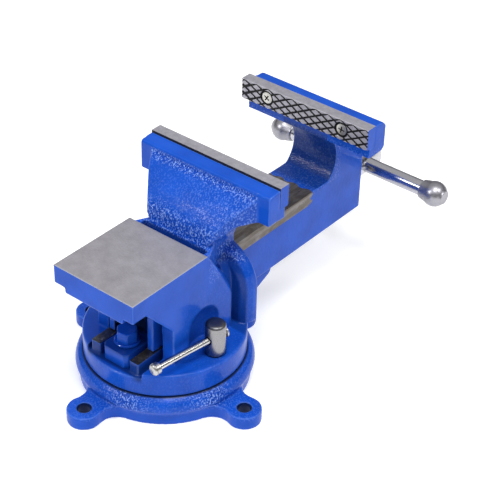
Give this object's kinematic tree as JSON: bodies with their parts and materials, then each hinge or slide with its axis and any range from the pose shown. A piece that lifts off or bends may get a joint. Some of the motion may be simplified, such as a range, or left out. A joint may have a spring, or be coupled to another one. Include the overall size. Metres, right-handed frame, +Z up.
{
  "type": "bench vise",
  "caption": "Bench vise with serrated steel jaw plates, a sliding lead-screw jaw, a flat rear anvil and a lockable swivel base with bolt lugs.",
  "frame": {"origin": "on the swivel axis, in the plane of the base's underside", "axes": "+Z up along the swivel axis; +Y along the lead screw, from the moving jaw and its handle towards the fixed jaw and the anvil; +X along the jaws"},
  "size_m": [0.1942, 0.3611, 0.165],
  "materials": {
    "blue_enamel": "glossy hammered enamel",
    "ground_steel": "ground, with blackened diamond grooves",
    "bright_steel": "bright zinc",
    "machined_steel": "turned, oiled",
    "spring_steel": "oiled wire",
    "polished_steel": "polished",
    "turned_steel": "satin turned"
  },
  "bodies": {
    "base": {"swivel_base": "blue_enamel"},
    "body": {"vise_body": "blue_enamel", "fixed_jaw_plate": "ground_steel", "fixed_jaw_screws": "bright_steel", "lead_nut": "blue_enamel", "lead_nut_bolt": "blue_enamel", "lead_nut_washer": "blue_enamel", "lock_bolt_left": "machined_steel", "lock_bolt_right": "machined_steel"},
    "slide": {"moving_jaw": "blue_enamel", "moving_jaw_plate": "ground_steel", "moving_jaw_screws": "bright_steel"},
    "screw": {"lead_screw": "machined_steel", "thrust_washer": "machined_steel", "return_spring": "spring_steel", "spring_washer": "machined_steel", "cotter_pin": "machined_steel"},
    "handle": {"handle_bar": "polished_steel", "handle_knob_left": "polished_steel", "handle_knob_right": "polished_steel"},
    "left_nut": {"lock_nut_left": "turned_steel"},
    "left_lever": {"lock_bar_left": "polished_steel", "lock_knobs_left": "polished_steel"},
    "right_nut": {"lock_nut_right": "turned_steel"},
    "right_lever": {"lock_bar_right": "polished_steel", "lock_knobs_right": "polished_steel"}
  },
  "joints": [
    {"name": "swivel", "type": "hinge", "parent": "base", "child": "body", "pos_m": [0, 0, 0.024], "axis": [0, 0, 1], "continuous": true},
    {"name": "jaw_slide", "type": "slide", "parent": "body", "child": "slide", "axis": [0, -1, 0], "range_m": [-0.0975, 0.02]},
    {"name": "screw_turn", "type": "hinge", "parent": "slide", "child": "screw", "pos_m": [0, -0.221, 0.076], "axis": [0, -1, 0], "range_deg": [-8772, 1798]},
    {"name": "handle_slide", "type": "slide", "parent": "screw", "child": "handle", "axis": [1, 0, 0], "range_m": [-0.05, 0.052]},
    {"name": "left_lock_turn", "type": "hinge", "parent": "body", "child": "left_nut", "pos_m": [-0.05, 0, 0.0435], "axis": [0, 0, 1], "range_deg": [-3, 155]},
    {"name": "left_lock_bar_slide", "type": "slide", "parent": "left_nut", "child": "left_lever", "axis": [0.1461, 0.9893, 0], "range_m": [-0.002, 0.0003]},
    {"name": "right_lock_turn", "type": "hinge", "parent": "body", "child": "right_nut", "pos_m": [0.05, 0, 0.0435], "axis": [0, 0, 1], "range_deg": [-13, 153]},
    {"name": "right_lock_bar_slide", "type": "slide", "parent": "right_nut", "child": "right_lever", "axis": [0.5, -0.866, 0], "range_m": [-0.002, 0.0003]}
  ],
  "couplings": [
    {"joint": "jaw_slide", "follows": "screw_turn", "m_per_rad": 0.00063662}
  ]
}
